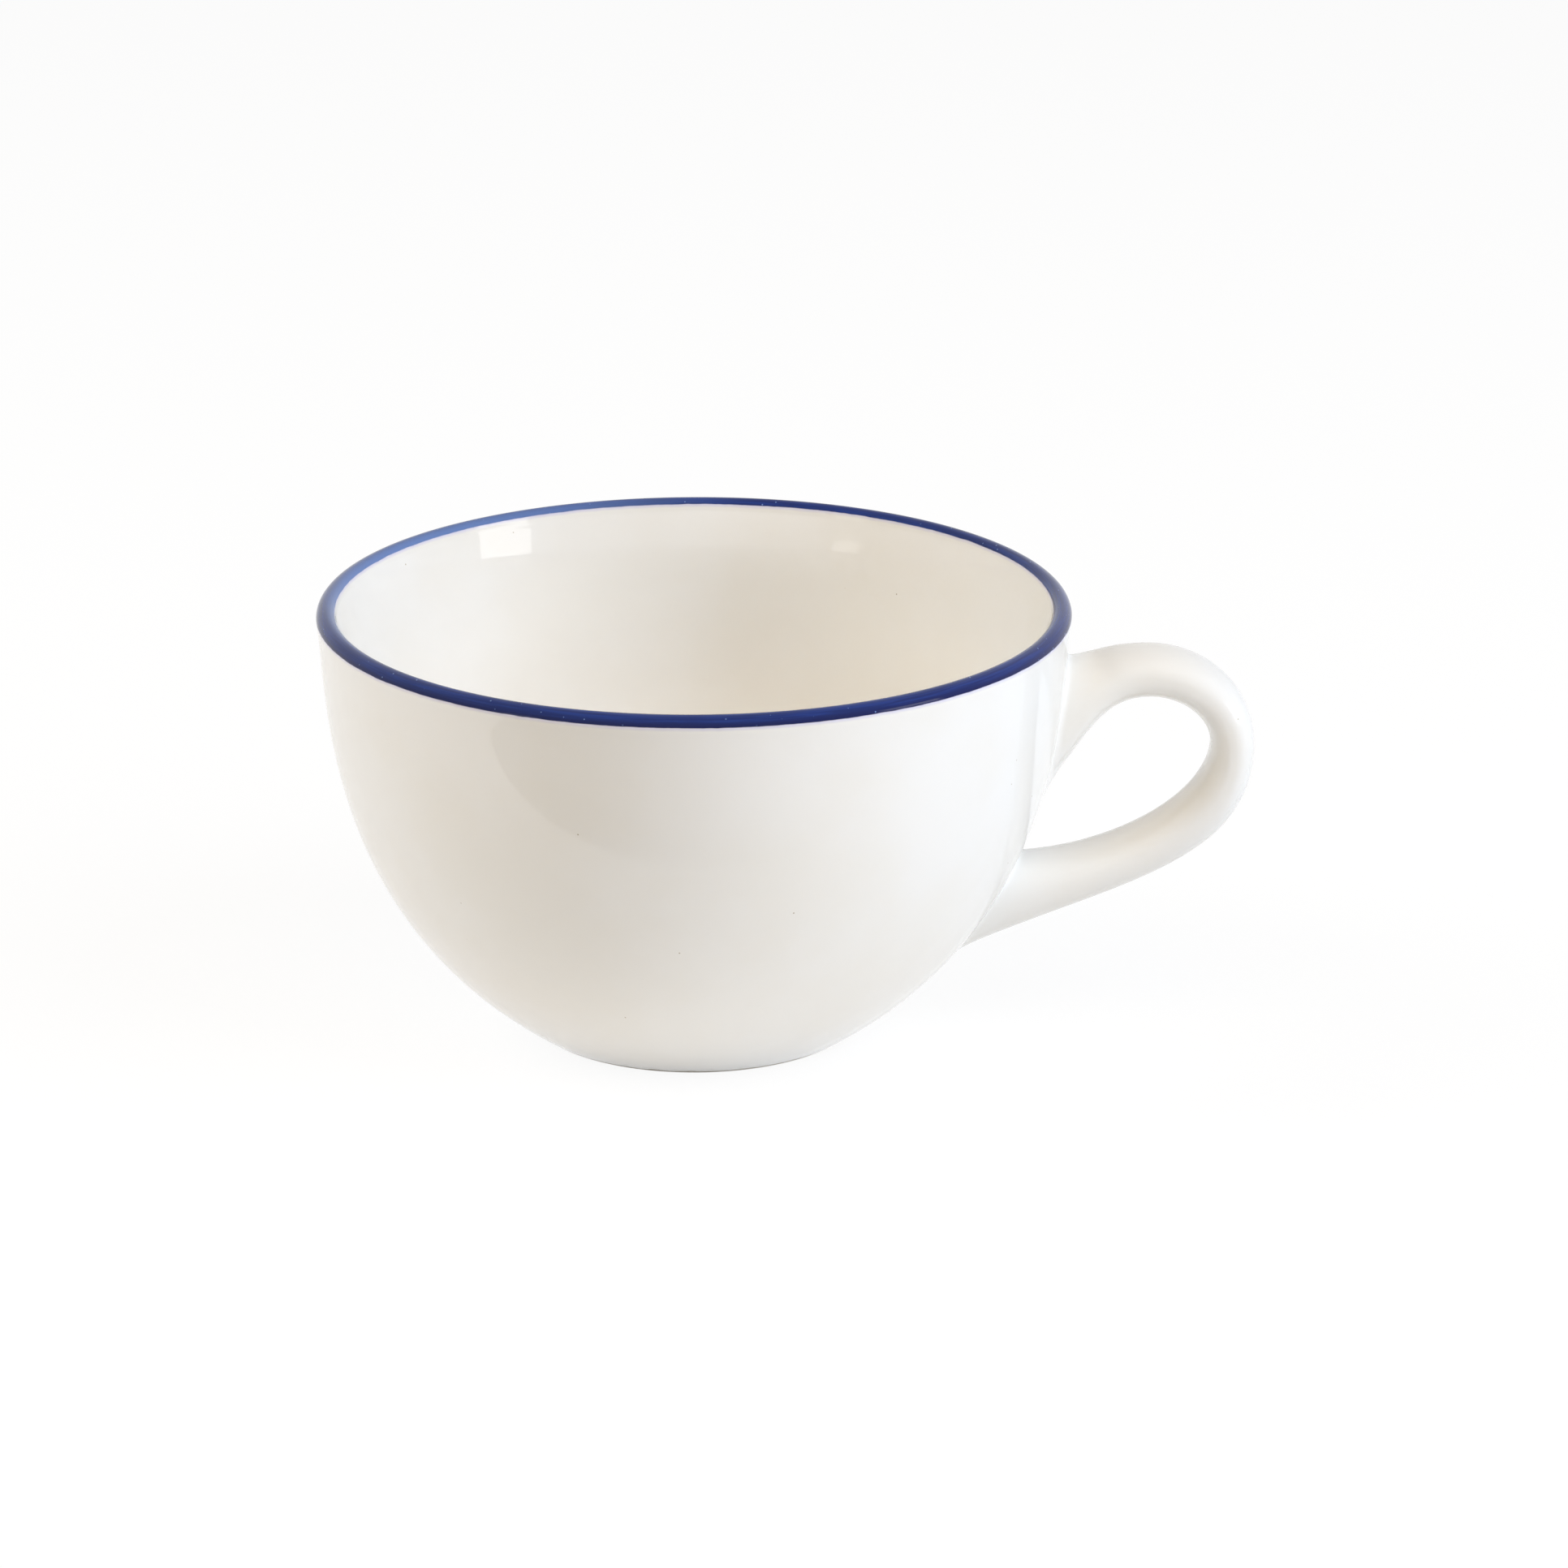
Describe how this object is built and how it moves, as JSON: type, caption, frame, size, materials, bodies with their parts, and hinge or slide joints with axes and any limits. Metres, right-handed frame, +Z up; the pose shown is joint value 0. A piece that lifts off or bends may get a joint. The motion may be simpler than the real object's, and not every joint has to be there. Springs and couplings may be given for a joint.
{
  "type": "coffee cup",
  "caption": "Round-bellied porcelain coffee cup on a small foot ring, with a blue band over its lip and an ear-shaped strap handle for a finger.",
  "frame": {"origin": "on the table, in the middle of the whole cup's footprint, handle included; the bowl's own axis is 13.5 mm towards -X", "axes": "+X from the bowl towards the handle, +Z up out of the mouth, +Y to the left when looking along +X"},
  "size_m": [0.1372, 0.1102, 0.0646],
  "materials": {
    "glazed_porcelain": "clear gloss glaze on warm white porcelain",
    "bare_biscuit": "matt, unglazed where the cup stands",
    "blue_enamel": "gloss blue enamel, fired on"
  },
  "bodies": {
    "root": {"bowl": "glazed_porcelain", "foot_ring": "bare_biscuit", "rim_band": "blue_enamel", "handle": "glazed_porcelain", "upper_slip_joint": "glazed_porcelain", "lower_slip_joint": "glazed_porcelain"}
  },
  "joints": []
}
